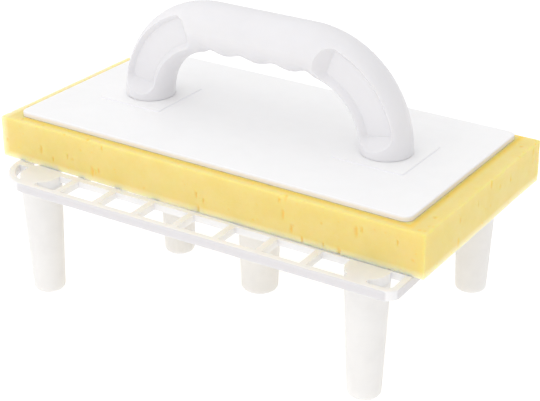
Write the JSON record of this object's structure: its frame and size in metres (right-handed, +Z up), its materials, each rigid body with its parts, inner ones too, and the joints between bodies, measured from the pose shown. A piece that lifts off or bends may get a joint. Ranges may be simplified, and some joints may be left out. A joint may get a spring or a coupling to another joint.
{
  "type": "sponge float with drain tray",
  "caption": "Hand float with a D handle and a thick sponge pad, standing on a separate grid tray with hollow legs that lets it drain.",
  "frame": {"origin": "on the floor, at the middle of the foot of the tray's centre leg", "axes": "+X along the float's length, +Y across it away from the side with the open strip of grid, +Z up"},
  "size_m": [0.2846, 0.168, 0.1689],
  "materials": {
    "tray_plastic": "satin",
    "leg_plastic": "satin",
    "board_plastic": "satin",
    "handle_plastic": "satin",
    "sponge": "matte",
    "adhesive": "satin",
    "screw_steel": "satin"
  },
  "bodies": {
    "tray": {"drain_grid": "tray_plastic", "front_left_leg": "leg_plastic", "front_right_leg": "leg_plastic", "back_left_leg": "leg_plastic", "back_right_leg": "leg_plastic", "inner_leg": "leg_plastic", "centre_leg": "leg_plastic"},
    "float": {"sponge_pad": "sponge", "adhesive_film": "adhesive", "backing_board": "board_plastic", "handle": "handle_plastic", "handle_screws": "screw_steel"}
  },
  "joints": [
    {"name": "float_lift", "type": "slide", "parent": "tray", "child": "float", "axis": [0, 0, 1], "range_m": [0, 0.12]}
  ]
}
